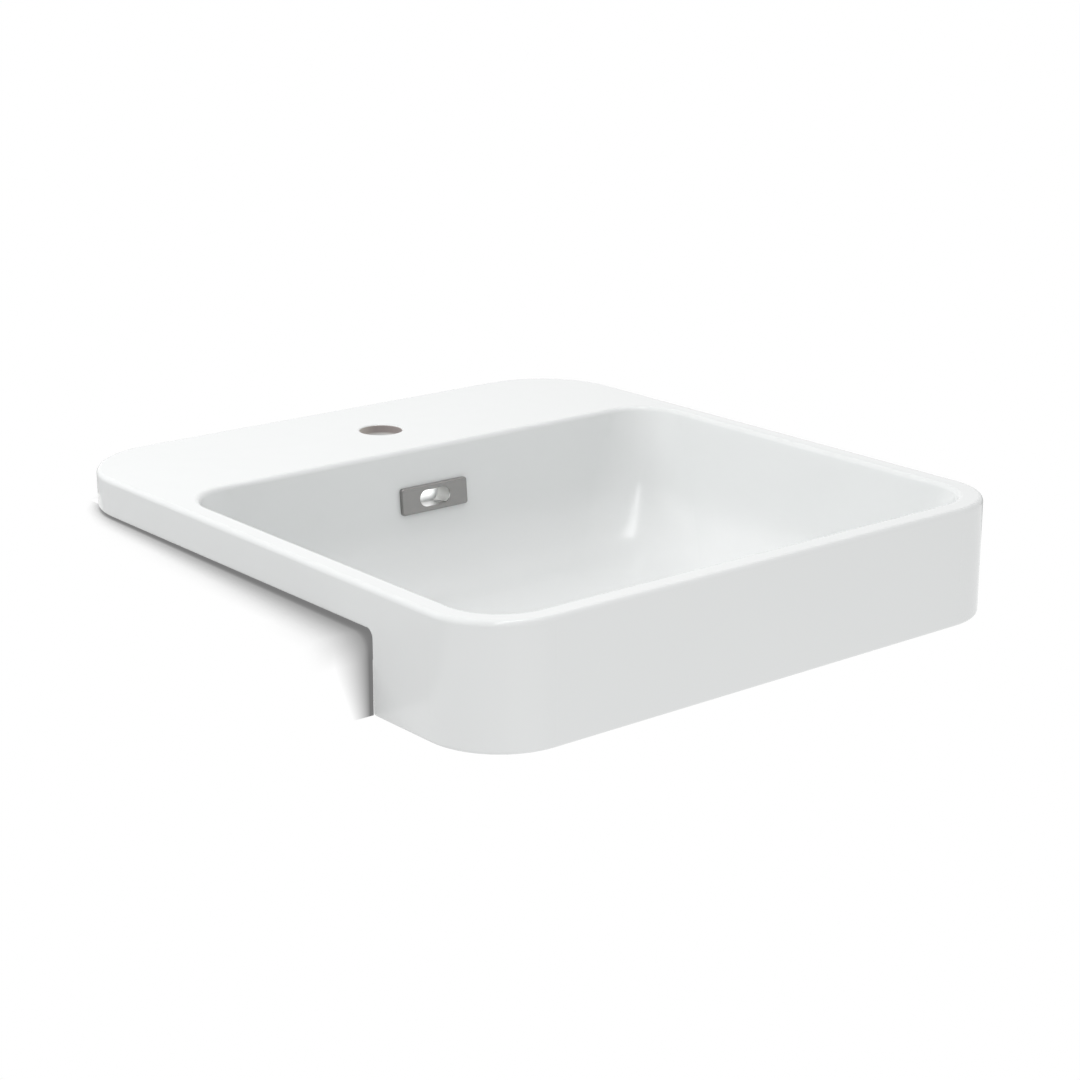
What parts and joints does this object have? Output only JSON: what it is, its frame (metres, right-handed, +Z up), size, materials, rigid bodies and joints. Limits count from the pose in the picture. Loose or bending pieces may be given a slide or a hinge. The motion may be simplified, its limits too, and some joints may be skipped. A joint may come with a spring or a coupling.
{
  "type": "semi recessed basin",
  "caption": "Semi recessed ceramic basin with deep rectangular bowl, rear tap ledge with tap hole, slotted overflow trim and push-plug waste.",
  "frame": {"origin": "middle of the ground seat strip under the back edge of the tap ledge, where the basin rests on the worktop", "axes": "+X to the user's right as they face the basin, +Y to the wall behind it, +Z up"},
  "size_m": [0.5, 0.54, 0.193],
  "materials": {
    "ceramic": "gloss glaze",
    "trim_chrome": "polished",
    "waste_chrome": "polished",
    "cap_chrome": "polished",
    "brass": "machined",
    "rubber": "matt",
    "plastic": "moulded",
    "spring_steel": "drawn wire"
  },
  "bodies": {
    "basin": {"basin_body": "ceramic", "overflow_trim": "trim_chrome", "overflow_clip": "plastic", "waste_body": "waste_chrome", "flange_seal": "rubber", "lower_seal": "rubber", "slip_washer": "plastic", "backnut": "brass", "cartridge_sleeve": "brass", "cartridge_nut": "brass", "click_spring": "spring_steel"},
    "plug": {"plug_cap": "cap_chrome", "plug_seal": "rubber", "plunger": "brass"},
    "latch": {"latch_ring": "plastic"}
  },
  "joints": [
    {"name": "plug_slide", "type": "slide", "parent": "basin", "child": "plug", "axis": [0, 0, 1], "range_m": [-0.009, 0], "stiffness_N_per_m": 400, "springref_m": 0.004, "deforming": ["click_spring"]},
    {"name": "latch_turn", "type": "hinge", "parent": "plug", "child": "latch", "pos_m": [0, -0.304, -0.104], "axis": [0, 0, 1], "range_deg": [-46, 1]}
  ],
  "couplings": [
    {"joint": "latch_turn", "follows": "plug_slide", "rad_per_m": 87.266}
  ]
}
